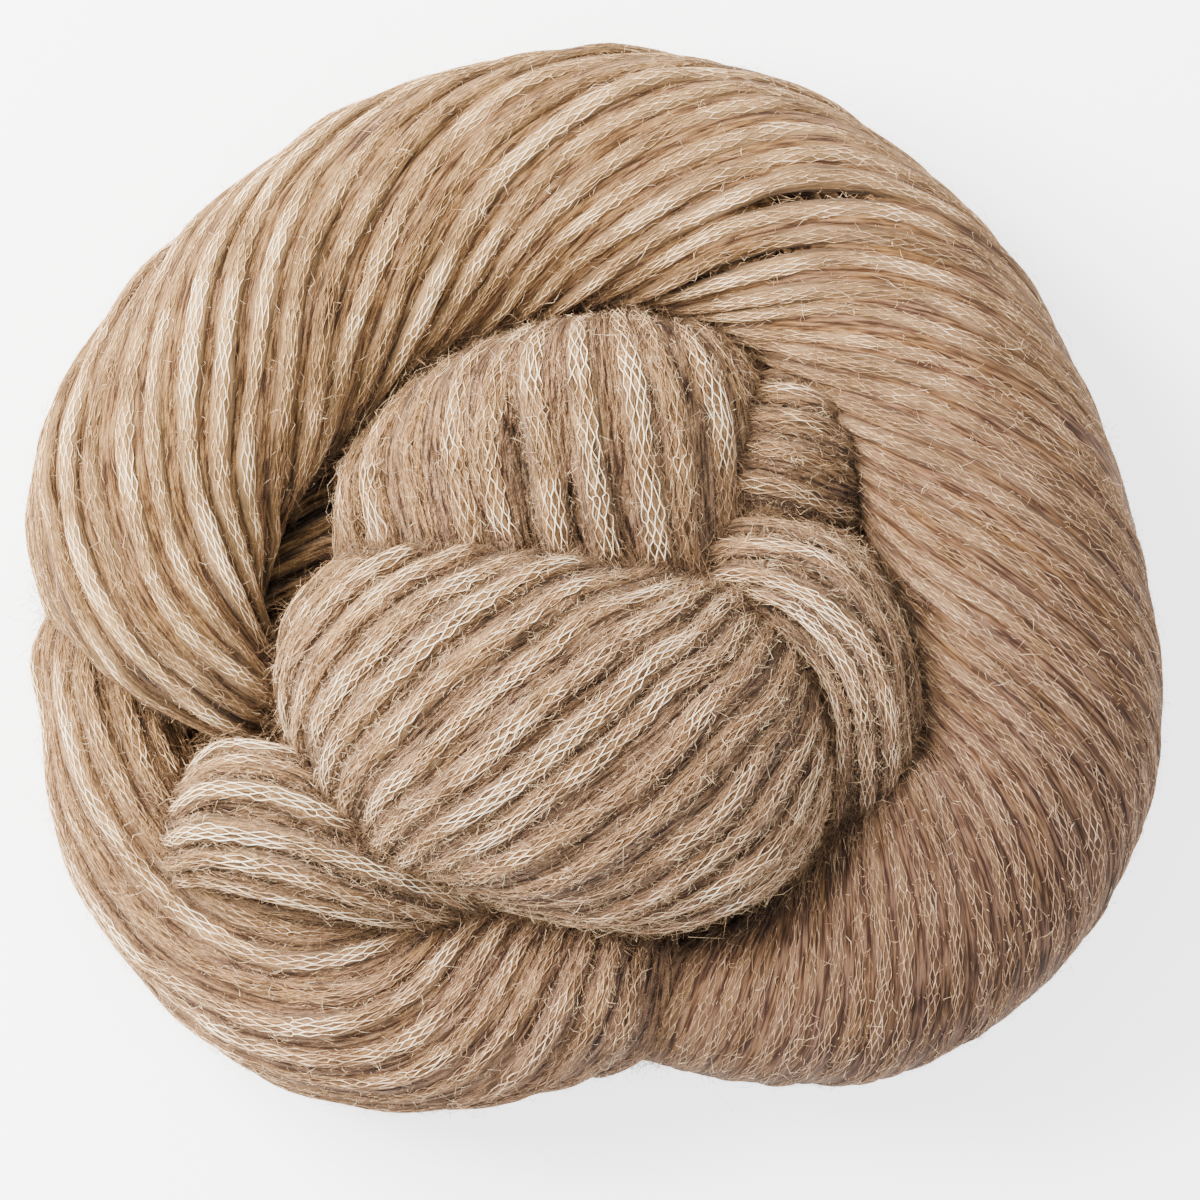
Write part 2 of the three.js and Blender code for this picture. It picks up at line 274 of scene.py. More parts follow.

# Each coil repeats the solid's own table: x, y, z, half width and half height. The sixth number
# is the angle in degrees at which its strands cross the path on top, which is finer here than
# the solid's ridges. "pitch" is how far apart the strands lie where the coil is fullest, "phase"
# moves them by a share of it, and "heading" is the one heading of a nearly straight coil in
# degrees. "gather" is how much closer the strands come where the coil narrows, "squeeze" how much
# closer they are packed in the path's second half. "partings" are slits between two strands,
# darkened with painted shade: their number, where they start and stop along the path, and their width.
COILS = {
    "outer_ring": {
        "pitch": 5.0, "phase": 0.5, "squeeze": 0.32, "gather": 0.0,
        "partings": [(-17.0, 146, 172, 1.8), (-15.0, 158, 174, 0.9)],
        "rows": [
            (-46, -22.5, 13, 3, 10, 0), (-54.5, -17.5, 18, 8.5, 17, 2), (-63.5, -8, 20.5, 15, 19.5, 6),
            (-68, 3, 19.5, 19.5, 20.5, 14), (-66.5, 17, 19.5, 20.5, 20.5, 29),
            (-56, 32, 19.5, 21, 20.5, 36), (-41, 47, 19.5, 21, 20.5, 37), (-19.5, 58, 19.5, 21, 20.5, 37),
            (3.5, 61.5, 19.5, 21, 20.5, 36), (25.5, 57, 19.5, 20, 20.5, 40),
            (45.5, 41.5, 19.5, 20, 20.5, 40), (59, 18, 19.5, 20.5, 20.5, 40),
            (66.5, -9.5, 19.5, 20.5, 20.5, 44), (66.5, -30, 19.5, 20, 20.5, 52),
            (55.5, -48, 19.5, 20.5, 20.5, 57), (39.5, -60, 18.5, 18.5, 19.5, 60),
            (29, -64.5, 17, 14.5, 18, 62), (18.5, -66, 15, 12, 16, 64), (9, -66.5, 12, 9, 13, 66),
            (2, -67, 9, 6, 10, 68),
        ],
    },
    "tail": {
        "pitch": 5.3, "phase": 0.4, "gather": 0.0,
        "rows": [
            (-70.5, 4, 11, 6, 9, 0), (-75.5, -9.5, 14, 11, 13, 2), (-75.5, -20, 14.5, 11, 15, 8),
            (-72, -35.5, 15, 13, 15.5, 12), (-63, -50.5, 15, 14, 16, 10),
            (-48, -61.5, 15.5, 16, 16.5, 20), (-32, -66.5, 16, 16, 17, 36), (-18, -66, 16, 16, 17, 50),
            (-6.5, -64.5, 16, 14.5, 17, 60), (3, -63, 16, 12.5, 17, 68), (10.5, -62, 13, 9.5, 14, 74),
            (17, -61, 9, 5.5, 10, 76),
        ],
    },
    "curl": {
        "pitch": 6.0, "phase": -0.15, "gather": 0.6, "heading": -10,
        "rows": [
            (-69.5, -39.5, 12, 2.5, 8, 0), (-65.5, -39, 18, 9.5, 15, 0), (-59, -37, 21, 13.5, 19, 0),
            (-47.5, -39, 22, 13.5, 20, 0), (-35, -43.5, 21, 11, 18, 0), (-24, -47.5, 17, 8, 14, 0),
            (-16.5, -50.5, 13, 4, 8, 0),
        ],
    },
    "back_bundle": {
        "pitch": 6.9, "heading": 270,
        "partings": [(-2.55, 18, 44, 3.0), (-1.5, 32, 42, 0.9), (-0.5, 32, 42, 0.9)],
        "rows": [
            (3, 42, 16, 6, 13, 24), (1.5, 38.5, 21, 17, 20, 24), (-1, 32, 23.5, 27, 23.5, 24),
            (-3.5, 25, 24, 31.5, 24, 24), (-6, 17, 23.5, 34, 23.5, 22), (-7.5, 7.5, 22.5, 34, 22.5, 18),
            (-7.5, -1.5, 20, 32, 20, 16), (-7.5, -9.5, 16, 23, 14, 16),
        ],
    },
    "right_bundle": {
        "pitch": 5.0, "phase": 0.5,
        "rows": [
            (7, -1, 12, 4.5, 9, 0), (14.5, 2, 19, 7, 15, 0), (24, 3, 23, 9, 19, 3),
            (33.5, -1, 24, 10, 20, 10), (40, -10, 23, 9.5, 20, 14), (42, -21, 22, 8.5, 19, 12),
            (41, -33.5, 17, 8, 15, 4), (38.5, -43.5, 12, 5.5, 10, 0),
        ],
    },
    "side_bundle": {
        "pitch": 6.2,
        "rows": [
            (13, 20, 16, 8, 12, 0), (22.5, 20, 20, 12.5, 18, 0), (31.5, 18.5, 20, 13.5, 19, 0),
            (39.5, 15.5, 16, 12.5, 15, 0), (45.5, 12.5, 10, 8, 9, 0),
        ],
    },
    "crown": {
        "pitch": 6.2, "phase": 0.4, "heading": 50,
        "rows": [
            (-37, -43, 18, 3, 12, 12), (-33.5, -39, 23, 14.5, 20, 12), (-29.5, -35.5, 26, 25.5, 24.5, 12),
            (-23, -32, 28, 34.5, 27, 12), (-15, -27.5, 29, 40, 28.5, 12), (-6, -22.5, 29.5, 42, 29.5, 12),
            (3, -18, 29, 39.5, 28.5, 12), (11, -13, 28, 33, 26.5, 12), (18, -10, 26, 24.5, 24, 12),
            (23, -6, 23, 16, 20, 12), (26.5, -3.5, 18, 4.5, 12, 12),
        ],
    },
    "heart": {
        "pitch": 6.2, "heading": 0,
        "rows": [
            (-67.5, -21.5, 7, 6, 8, 0), (-57.5, -15.5, 10, 18.5, 11, 0), (-43, -11, 12, 34, 13, 0),
            (-22.5, -8, 13, 48, 14, 0), (0.5, -6.5, 13.5, 52.5, 14.5, 0), (24, -6.5, 13, 47.5, 14, 0),
            (39.5, -8, 11, 32, 12, 0), (47, -11, 8, 9.5, 9, 0),
        ],
    },
}


def unit(vectors):
    """Each vector divided by its length."""
    length = np.linalg.norm(vectors, axis=-1, keepdims=True)
    return vectors / np.maximum(length, 1e-9)


def running_sum(steps):
    """Zero, and then the sum of the steps up to each."""
    return np.concatenate([[0.0], np.cumsum(steps)])


def line_lengths(points):
    """How far along the line each point lies: the sum of the steps up to it."""
    return running_sum(np.linalg.norm(np.diff(points, axis=0), axis=1))


def read_at(wanted, known, values):
    """Values that are given at known distances, or each column of them, read at wanted ones."""
    if values.ndim == 1:
        return np.interp(wanted, known, values)
    return np.stack([np.interp(wanted, known, column) for column in values.T], axis=1)


def slope(value, start, gain, least):
    """start + gain * value, kept between the least and 1."""
    return np.clip(start + gain * value, least, 1.0)


def wander(rng, distance, wavelength, amount):
    """A smooth, seeded drift along a strand: three sine waves of unlike length and start."""
    starts = rng.uniform(0, 2 * math.pi, 3)
    lengths = wavelength * np.array([1.0, 0.61, 0.37])
    shares = np.array([0.6, 0.35, 0.25])
    waves = np.sin(2 * math.pi * distance[:, None] / lengths + starts)
    return amount * (waves * shares).sum(axis=1)


class Coil:
    """A coil's surface over two numbers: the distance s along its path and t round its section.

    The path is a smooth curve through the table's rows. At each s the section is a full oval,
    |side / wide| ** SECTION_FULLNESS + |up / high| ** SECTION_FULLNESS = 1, upright and square to
    the heading, and t is the way round it from the top, to the left. The strands lie where the
    count fall(s) + t * spread(s) is a whole number of pitches. The fall drops by the sine of the
    twist for each millimetre of path, and the spread is its cosine, more where the coil gathers.
    """

    def __init__(self, name, pitch, rows, phase=0.0, gather=0.5, squeeze=0.0, heading=None,
                 partings=()):
        self.name = name
        self.pitch = pitch
        self.phase = phase
        self.partings = partings
        self.heading = heading
        smooth = self.smooth_rows(np.array(rows, float))
        walked = line_lengths(smooth[:, :3])
        self.length = walked[-1]
        self.s = np.linspace(0.0, self.length, int(self.length / GRID_STEP) + 2)
        columns = read_at(self.s, walked, smooth)
        self.centre = columns[:, :3]
        self.wide = np.maximum(columns[:, 3], THINNEST)
        self.high = np.maximum(columns[:, 4], THINNEST)
        twist = np.radians(columns[:, 5])
        self.way = unit(np.gradient(self.centre[:, :2], self.s, axis=0))
        self.left = self.left_of_path()
        self.side, self.up, self.girth = self.section_grid()
        starts, full = SQUEEZED
        self.packed = np.clip((self.s / self.length - starts) / (full - starts), 0, 1) * (squeeze > 0)
        closer = 1 + squeeze * self.packed
        drop = np.sin(twist) * closer
        mean_drop = 0.5 * (drop[1:] + drop[:-1]) * np.diff(self.s)
        self.fall = -running_sum(mean_drop)
        self.cross = np.sin(twist)
        self.run = running_sum(np.cos(twist[1:]) * np.diff(self.s))
        self.spread = np.cos(twist) * closer * (self.girth.max() / self.girth) ** gather

    @staticmethod
    def smooth_rows(rows):
        """A curve through the rows: a cubic between each two, with the slope of its neighbours."""
        last = len(rows) - 1
        ends = np.vstack([2 * rows[0] - rows[1], rows, 2 * rows[-1] - rows[-2]])
        place = np.linspace(0, last, CURVE_STEPS * last + 1)
        row = np.minimum(place.astype(int), last - 1)
        part = (place - row)[:, None]
        before, here, after, later = (ends[row + shift] for shift in range(4))
        return 0.5 * (
            2 * here
            + (after - before) * part
            + (2 * before - 5 * here + 4 * after - later) * part ** 2
            + (3 * here - before - 3 * after + later) * part ** 3
        )

    def left_of_path(self):
        """The level direction to the left of the smoothed way, or of one heading all along."""
        if self.heading is None:
            apart = (self.s[:, None] - self.s[None, :]) / TURN_SMOOTHING
            way = unit(np.exp(-0.5 * apart ** 2) @ self.way)
        else:
            turn = math.radians(self.heading)
            way = np.tile([math.cos(turn), math.sin(turn)], (len(self.s), 1))
        return np.stack([-way[:, 1], way[:, 0], np.zeros(len(way))], axis=1)

    def section_grid(self):
        """Each section's points at even steps round it, from underneath over the top, and its girth."""
        angle = np.linspace(-math.pi, math.pi, 4 * SECTION_POINTS)
        power = 2 / SECTION_FULLNESS
        full_side = np.sign(np.sin(angle)) * np.abs(np.sin(angle)) ** power
        full_up = np.sign(np.cos(angle)) * np.abs(np.cos(angle)) ** power
        side = self.wide[:, None] * full_side
        up = self.high[:, None] * full_up
        steps = np.hypot(np.diff(side, axis=1), np.diff(up, axis=1))
        round_ = np.concatenate([np.zeros((len(side), 1)), np.cumsum(steps, axis=1)], axis=1)
        girth = round_[:, -1]
        share = np.linspace(0, 1, SECTION_POINTS)
        even_side, even_up = (
            np.array([np.interp(share * g, r, x) for g, r, x in zip(girth, round_, grid)])
            for grid in (side, up))
        return even_side, even_up, girth

    def column(self, values, s):
        """A column of the coil read at any distance along the path."""
        return read_at(s, self.s, values)

    def point(self, s, t):
        """The surface's points at s along the path and t round the section, from the even grid."""
        s = np.clip(s, 0, self.length)
        row = s / (self.s[1] - self.s[0])
        share = np.clip(t / self.column(self.girth, s) + 0.5, 0, 1) * (SECTION_POINTS - 1)
        i = np.minimum(row.astype(int), len(self.s) - 2)
        j = np.minimum(share.astype(int), SECTION_POINTS - 2)
        u = row - i
        v = share - j

        def read(grid):
            """The four grid points round each place, blended by how near they are."""
            return (grid[i, j] * (1 - u) * (1 - v) + grid[i + 1, j] * u * (1 - v)
                    + grid[i, j + 1] * (1 - u) * v + grid[i + 1, j + 1] * u * v)

        place = self.column(self.centre, s) + read(self.side)[:, None] * self.column(self.left, s)
        place[:, 2] += read(self.up)
        return place

    def count(self, s, t):
        """The strands' count times the pitch, at s along the path and t round the section."""
        return self.column(self.fall, s) + t * self.column(self.spread, s)

    def opened(self, s, number):
        """How far the partings push a place sideways, and how open they are there, from 0 to 1.

        A parting is a bell curve along the path, and its sides are pushed apart the more the
        closer they lie.
        """
        push = np.zeros(len(s))
        gap = np.zeros(len(s))
        for place, start, stop, width in self.partings:
            bell = np.exp(-(2.0 * (s - 0.5 * (start + stop)) / (stop - start)) ** 4)
            away = number - place
            pushed = np.sign(away) * np.exp(-PARTING_PUSH * np.abs(away))
            push = push + 0.5 * width * bell * pushed
            gap = np.maximum(gap, bell * np.exp(-(away / PARTING_SLIT) ** 2))
        return push, gap

    def surface(self, s, t):
        """The point, its outward direction, and how far apart the strands lie there.

        With e and f the surface's steps along s and t, the outward direction is their cross
        product, and the strands are pitch / |slope of the count| apart on the surface.
        """
        step = 0.25
        point = self.point(s, t)
        along = (self.point(s + step, t) - self.point(s - step, t)) / (2 * step)
        across = (self.point(s, t + step) - self.point(s, t - step)) / (2 * step)
        outward = unit(np.cross(along, across))
        inside = self.column(self.centre, s)
        outward *= np.sign(((point - inside) * outward).sum(axis=1, keepdims=True))
        count_s = (self.count(s + step, t) - self.count(s - step, t)) / (2 * step)
        count_t = self.column(self.spread, s)
        e = (along * along).sum(axis=1)
        f = (along * across).sum(axis=1)
        g = (across * across).sum(axis=1)
        steep = g * count_s ** 2 - 2 * f * count_s * count_t + e * count_t ** 2
        steep = steep / np.maximum(e * g - f * f, 1e-3)
        apart = self.pitch / np.sqrt(np.maximum(steep, 1e-4))
        return point, outward, np.clip(apart, *ROOM)

    def depth_of(self, points):
        """How deep each point lies inside the coil, in millimetres, below zero outside it.

        The depth is (1 - size) times the section's smaller half, where size is the oval's own
        measure of the point, 1 on its rim.
        """
        level = points[:, :2]
        if self.heading is None:
            apart = np.linalg.norm(level[:, None, :] - self.centre[None, ::COARSE, :2], axis=2)
            row = np.argmin(apart, axis=1) * COARSE
        else:
            turn = math.radians(self.heading)
            way = np.array([math.cos(turn), math.sin(turn)])
            row = np.interp(level @ way, self.centre[:, :2] @ way, np.arange(len(self.s)))
            row = row.astype(int)
        off = points - self.centre[row]
        left = self.left[row]
        side = (off * left).sum(axis=1)
        along = off[:, 0] * left[:, 1] - off[:, 1] * left[:, 0]
        size = (np.abs(side / self.wide[row]) ** SECTION_FULLNESS
                + np.abs(off[:, 2] / self.high[row]) ** SECTION_FULLNESS) ** (1 / SECTION_FULLNESS)
        depth = (1 - size) * np.minimum(self.wide[row], self.high[row])
        return np.where(np.abs(along) > PAST_END, OUTSIDE, depth)


def stretches(keep, shortest):
    """Where each stretch of true values starts and stops, of those that are long enough."""
    changes = np.flatnonzero(np.diff(np.concatenate([[0], keep.astype(int), [0]])))
    return [(start, stop) for start, stop in changes.reshape(-1, 2) if stop - start >= shortest]


def cut_runs(line, keep, shortest):
    """A line's arrays, cut into the stretches that are kept."""
    return [
        {key: value[start:stop] if isinstance(value, np.ndarray) else value
         for key, value in line.items()}
        for start, stop in stretches(keep, shortest)
    ]


def lay_strands(coil, others, fluff_depth, rng):
    """Every strand of a coil, cut where it is buried, as arrays along it.

    A strand is a line of even count on the coil's surface: t = (count - fall) / spread. It is
    walked in even steps, drifts a little sideways and in and out, and its runs inside other
    coils are left out.
    """
    edge = REACH * coil.girth
    counts = np.concatenate([coil.fall + edge * coil.spread, coil.fall - edge * coil.spread])
    first = math.floor(counts.min() / coil.pitch)
    last = math.ceil(counts.max() / coil.pitch)
    strands = []
    for number in range(first, last + 1):
        t_all = ((number + coil.phase) * coil.pitch - coil.fall) / coil.spread
        for start, stop in stretches(np.abs(t_all) <= edge, LEAST_STEPS):
            s_line = coil.s[start:stop]
            t_line = t_all[start:stop]
            walked = line_lengths(coil.point(s_line, t_line))
            if walked[-1] < LEAST_LENGTH:
                continue
            distance = np.linspace(0, walked[-1], int(walked[-1] / STRAND_STEP) + 1)
            s = np.interp(distance, walked, s_line)
            t = np.interp(distance, walked, t_line)
            t = t + rng.uniform(-ASIDE, ASIDE) * coil.pitch + wander(rng, distance, 70.0, 0.6)
            t = t + coil.opened(s, number + coil.phase)[0]
            point, outward, apart = coil.surface(s, t)
            packed = coil.column(coil.packed, s)
            rise = rng.uniform(*RISE) + wander(rng, distance, 46.0, 0.5)
            rise = np.clip(rise, LEAST_PROUD - fluff_depth, MOST_PROUD) * (1 - PACKED_FLAT * packed)
            apart = apart * (1 + wander(rng, distance, 37.0, 0.08) + wander(rng, distance, 9.0, 0.05))
            depth = np.max([other.depth_of(point) for other in others], axis=0)
            strands.extend(cut_runs({
                "number": number, "distance": distance, "point": point, "outward": outward,
                "apart": apart, "rise": rise, "depth": depth, "packed": packed,
            }, depth < BURIED, LEAST_STRAND))
    return strands


def shape_strand(strand):
    """Adds the strand's sides, half sizes and middle line, which lies under the coil's surface."""
    tangent = unit(np.gradient(strand["point"], axis=0))
    side = unit(np.cross(strand["outward"], tangent))
    outward = unit(np.cross(tangent, side))
    half_width = 0.5 * np.interp(strand["packed"], (0, 1), STRAND_WIDTH_SHARE) * strand["apart"]
    half_height = np.interp(strand["packed"], (0, 1), STRAND_FLATNESS) * half_width
    middle = strand["point"] + outward * (strand["rise"] - half_height)[:, None]
    strand.update(tangent=tangent, side=side, outward=outward, half_width=half_width,
                  half_height=half_height, middle=middle)
    return strand


def tubes(middle, side, up, half_width, half_height, starts, corners):
    """Oval tubes along many lines at once, closed at their ends.

    Round each point of a line goes a ring of corners, middle + cos(a) * half_width * side
    + sin(a) * half_height * up, and starts says where each line begins in the arrays.
    """
    angle = 2 * math.pi * np.arange(corners) / corners + math.pi / 2
    across = half_width[:, None, None] * np.cos(angle)[None, :, None] * side[:, None, :]
    over = half_height[:, None, None] * np.sin(angle)[None, :, None] * up[:, None, :]
    rings = middle[:, None, :] + across + over
    ends = np.append(starts[1:], len(middle)) - 1
    joined = np.ones(len(middle), bool)
    joined[ends] = False
    ring = np.flatnonzero(joined)[:, None] * corners
    corner = np.arange(corners)[None, :]
    following = (corner + 1) % corners
    sides = np.stack([ring + corner, ring + following,
                      ring + corners + following, ring + corners + corner], axis=2)
    first = starts[:, None] * corners + corner[:, ::-1]
    final = ends[:, None] * corners + corner
    return rings.reshape(-1, 3), [sides.reshape(-1, 4), first, final]


def add_object(name, data):
    """A new object of the scene, for a mesh, a lamp or a camera."""
    made = bpy.data.objects.new(name, data)
    bpy.context.scene.collection.objects.link(made)
    return made


def add_mesh(name, vertices, faces, material, attributes, uv=None, smooth=True):
    """Puts arrays of vertices in millimetres and faces of any size into a new object."""
    vertices = vertices.copy()
    vertices[:, 2] = np.maximum(vertices[:, 2], LOWEST)
    mesh = bpy.data.meshes.new(name)
    mesh.vertices.add(len(vertices))
    mesh.vertices.foreach_set("co", (vertices * MM).astype(np.float32).ravel())
    corners = np.concatenate([group.ravel() for group in faces]).astype(np.int32)
    sizes = np.concatenate([np.full(len(group), group.shape[1]) for group in faces])
    mesh.loops.add(len(corners))
    mesh.loops.foreach_set("vertex_index", corners)
    mesh.polygons.add(len(sizes))
    mesh.polygons.foreach_set("loop_start", (np.cumsum(sizes) - sizes).astype(np.int32))
    mesh.polygons.foreach_set("use_smooth", np.full(len(sizes), smooth))
    mesh.update(calc_edges=True)
    for key, values in attributes.items():
        layer = mesh.attributes.new(key, "FLOAT", "POINT")
        layer.data.foreach_set("value", values.astype(np.float32))
    if uv is not None:
        layer = mesh.uv_layers.new(name="strand")
        layer.data.foreach_set("uv", uv[corners].astype(np.float32).ravel())
    mesh.materials.append(material)
    piece = add_object(name, mesh)
    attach(piece, "root")
    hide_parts("hank")


def joined_lines(lines, keys):
    """The lines' arrays one after the other, and where each line starts."""
    sizes = np.array([len(line[keys[0]]) for line in lines])
    starts = np.cumsum(sizes) - sizes
    return {key: np.concatenate([line[key] for line in lines]) for key in keys}, starts


def warmth(points):
    """Golden at the left and middle, greyer towards the front right, a slope over x and y: partly the
    yarn's tone, partly painted shade.
    """
    middle, along_x, along_y = WARMTH
    return np.clip(middle + along_x * points[:, 0] + along_y * points[:, 1], 0.0, 1.0)


def lightness(points):
    """How much of its tone and net a strand keeps: less towards the front right, as painted shade away
    from the window light.
    """
    return slope(warmth(points), *LIGHTNESS)


def seam_shade(depth):
    """The tone kept near another coil, with painted shade in the seam, from how deep inside it a place
    lies.
    """
    return 1 - SEAM_SHADE * np.clip((depth + SEAM_START) / SEAM_WIDTH, 0, 1)


def strand_bodies(name, strands, look, material):
    """The fibre body of each strand: a soft oval tube that tapers at its ends.

    Its texture coordinates are the distance along the strand and the way round it from its top,
    both moved by the strand's own shift, so that no two strands are streaked alike.
    """
    for strand in strands:
        order = np.arange(len(strand["point"]))
        taper = slope(np.minimum(order, order[::-1]), *TAPER)
        strand["drawn_width"] = strand["half_width"] * taper
        strand["drawn_height"] = strand["half_height"] * taper
        # The tone and pale band carry painted shade: less light towards the front right, darker near
        # other coils and where packed.
        light = lightness(strand["point"])
        strand["tone"] = (strand["own_tone"] * (LEAST_TONE + (1 - LEAST_TONE) * light)
                          * (1 - PACKED["shade"] * strand["packed"]) * seam_shade(strand["depth"]))
        strand["shift"] = np.full(len(order), strand["own_shift"])
        strand["band"] = look["band"] * strand["strong"] * light ** 2
    keys = ["middle", "side", "outward", "drawn_width", "drawn_height", "distance", "tone", "shift",
            "band", "packed"]
    all_, starts = joined_lines(strands, keys)
    vertices, faces = tubes(all_["middle"], all_["side"], all_["outward"], all_["drawn_width"],
                            all_["drawn_height"], starts, STRAND_CORNERS)
    angle = 2 * math.pi * np.arange(STRAND_CORNERS) / STRAND_CORNERS
    from_top = np.minimum(angle, 2 * math.pi - angle)
    groove = np.tile(from_top / math.pi, len(all_["middle"]))
    round_ = (np.sign(math.pi - angle) * from_top)[None, :] * all_["drawn_width"][:, None]
    cornered = {key: np.repeat(all_[key], STRAND_CORNERS)
                for key in ("distance", "tone", "shift", "band", "packed")}
    along = cornered["distance"] + cornered["shift"]
    across = round_.ravel() + cornered["shift"] * MAP_OFFSET
    attributes = {
        "groove": groove,
        "tone": cornered["tone"],
        "warmth": warmth(vertices),
        "crisp": look["crisp"] * (1 - PACKED["soften"] * cornered["packed"]),
        "band": np.clip(cornered["band"] * (1 - BAND_FALL * groove), 0, 1),
    }
    add_mesh(name, vertices, faces, material, attributes, np.stack([along, across], axis=1))


def net_lines(strand, rng, look):
    """The net's threads over one strand.

    They zigzag, each opposite to the next, so that a thread meets its left and its right
    neighbour by turns and leaves a long open cell between. Thread k lies round the strand's oval
    at angle = (k - middle + (-1) ** k * zigzag / 2) * spacing, and its point there is
    half_width * sin(angle) * side + half_height * cos(angle) * outward from the middle line.
    """
    start = strand["distance"][0]
    loops = int((strand["distance"][-1] - start) / LOOP_LENGTH)
    if loops < LEAST_LOOPS:
        return []
    lean = rng.uniform(-UNEVEN["lean"], UNEVEN["lean"]) + wander(rng, strand["distance"], 70.0, 0.2)
    threads = rng.choice(look["threads"])
    spacing = look["spacing"] * rng.uniform(*UNEVEN["spacing"])
    knot = np.arange(loops) + rng.uniform(0, 1) + rng.uniform(-UNEVEN["knots"], UNEVEN["knots"], loops)
    along = (start + LOOP_LENGTH * (knot[:, None] + ZIGZAG["along"])).ravel()
    zigzag = np.tile(ZIGZAG["apart"], loops)
    patches = wander(rng, along, 9.0, 0.22)
    sink = wander(rng, along, 21.0, 0.06)
    lines = []
    for thread in range(threads):
        place = thread - 0.5 * (threads - 1)
        sign = 1 - 2 * (thread % 2)
        moved = rng.uniform(-UNEVEN["points"], UNEVEN["points"], len(along))
        distance = along + moved * LOOP_LENGTH
        swerve = 0.5 * sign * zigzag * rng.uniform(*UNEVEN["zigzag"], len(along))
        swerve = swerve + wander(rng, distance, 12.0, 0.28)
        angle = (place + swerve) * spacing + np.interp(distance, strand["distance"], lean)
        strong = np.interp(distance, strand["distance"], strand["strong"])
        cream = strong + patches - UNEVEN["edge"] * abs(place)
        cream = cream + wander(rng, distance, 6.0, 0.15)
        cream = cream + rng.uniform(-UNEVEN["cream"], UNEVEN["cream"], len(along))
        lines.append({"distance": distance, "angle": angle, "cream": cream, "sink": sink})
    return [place_thread(strand, line, look) for line in lines]


def place_thread(strand, line, look):
    """Where a thread runs over the strand's oval, how pale and thick it is, and where it shows."""
    distance = line["distance"]
    middle, side, outward, half_width, half_height, depth, packed = (
        read_at(distance, strand["distance"], strand[key]) for key in
        ("middle", "side", "outward", "half_width", "half_height", "depth", "packed"))
    wide = half_width[:, None]
    high = half_height[:, None]
    angle = line["angle"][:, None]
    over = unit(np.sin(angle) / wide * side + np.cos(angle) / high * outward)
    place = middle + wide * np.sin(angle) * side + high * np.cos(angle) * outward
    # Painted light and shade on the net: paler where a thread faces up, darker near other coils and
    # towards the front right.
    painted_top_light = slope(over[:, 2], *FACING)
    painted_seam_fade = np.clip((CLEAR_DEPTH - depth) / CLEAR_WIDTH, 0.0, 1.0)
    cream = line["cream"] * look["cream"] * lightness(place)
    cream = np.maximum(cream, FAINT_NET + FAINT_SHARE * line["cream"]) * (1 - PACKED["dim"] * packed)
    cream = np.clip(cream * painted_top_light * painted_seam_fade, 0.0, 1.0)
    lift = LIFT + line["sink"] - SINKING * np.clip(PROUD - cream, 0, 1)
    place = place + over * lift[:, None]
    seen = ((cream > SEEN_CREAM) & (depth < SEEN_DEPTH) & (over[:, 2] > SEEN_FACING)
            & (place[:, 2] > SEEN_HEIGHT))
    radius = look["thread"] * (THREAD_SIZE[0] + THREAD_SIZE[1] * cream)
    radius = radius * np.clip(half_width / FULL_STRAND, THINNED, 1.0)
    return {"point": place, "outward": over, "cream": cream, "radius": radius, "seen": seen}


def net(name, strands, rng, look, material):
    """All the threads of a coil's net, cut where they are hidden, as thin three-sided tubes."""
    runs = []
    for strand in strands:
        for line in net_lines(strand, rng, look):
            runs.extend(cut_runs(line, line["seen"], LEAST_THREAD))
    for run in runs:
        run["tangent"] = unit(np.gradient(run["point"], axis=0))
    all_, starts = joined_lines(runs, ["point", "outward", "cream", "radius", "tangent"])
    side = unit(np.cross(all_["outward"], all_["tangent"]))
    up = np.cross(all_["tangent"], side)
    vertices, faces = tubes(all_["point"], side, up, all_["radius"], all_["radius"], starts,
                            THREAD_CORNERS)
    attributes = {"cream": np.repeat(all_["cream"], THREAD_CORNERS), "warmth": warmth(vertices)}
    add_mesh(name, vertices, faces, material, attributes)


def bent_fibres(at, fibre, rng):
    """The corners of many fibres: each has two points and a thin ring of three at its bend.

    The first point is rooted in the strand, the bend stands off it, and the other point lies
    back along the strand.
    """
    middle, side, outward, tangent, wide, high = (at[key] for key in (
        "middle", "side", "outward", "tangent", "half_width", "half_height"))
    count = len(middle)
    shift = rng.uniform(-0.5, 0.5, (count, 1)) * STRAND_STEP
    angle = rng.choice([-1.0, 1.0], count) * np.clip(rng.normal(*fibre["angle"], count), 0, ROOT_ANGLE)
    root = (middle + tangent * shift + (wide * np.sin(angle))[:, None] * side
            + (high * np.cos(angle))[:, None] * outward)
    over = unit((np.sin(angle) / wide)[:, None] * side + (np.cos(angle) / high)[:, None] * outward)
    swing = rng.uniform(-math.pi, math.pi, count)[:, None]
    sideways = np.cross(tangent, over)
    lying = np.cos(swing) * tangent * LYING[0] + np.sin(swing) * sideways * LYING[1]
    length = rng.gamma(EVENNESS, fibre["length"] / EVENNESS, count)[:, None]
    stand = rng.uniform(*fibre["stand"], count)[:, None]
    curl = rng.normal(0, CURL, (count, 3)) * length
    bend = root + length * (BEND * lying + stand * over) + curl
    tip = root + length * (TIP[0] * lying + TIP[1] * stand * over) - curl
    root = root - ROOT_DEPTH * over
    radius = fibre["radius"] * rng.uniform(*FIBRE_SIZE, count)[:, None]
    along = unit(tip - root)
    across = unit(np.cross(along, over))
    above = np.cross(across, along)
    third = 2 * math.pi / 3
    corners = [bend + radius * (math.cos(k * third) * across + math.sin(k * third) * above)
               for k in range(3)]
    return np.stack([root, tip, *corners], axis=1).reshape(-1, 3)


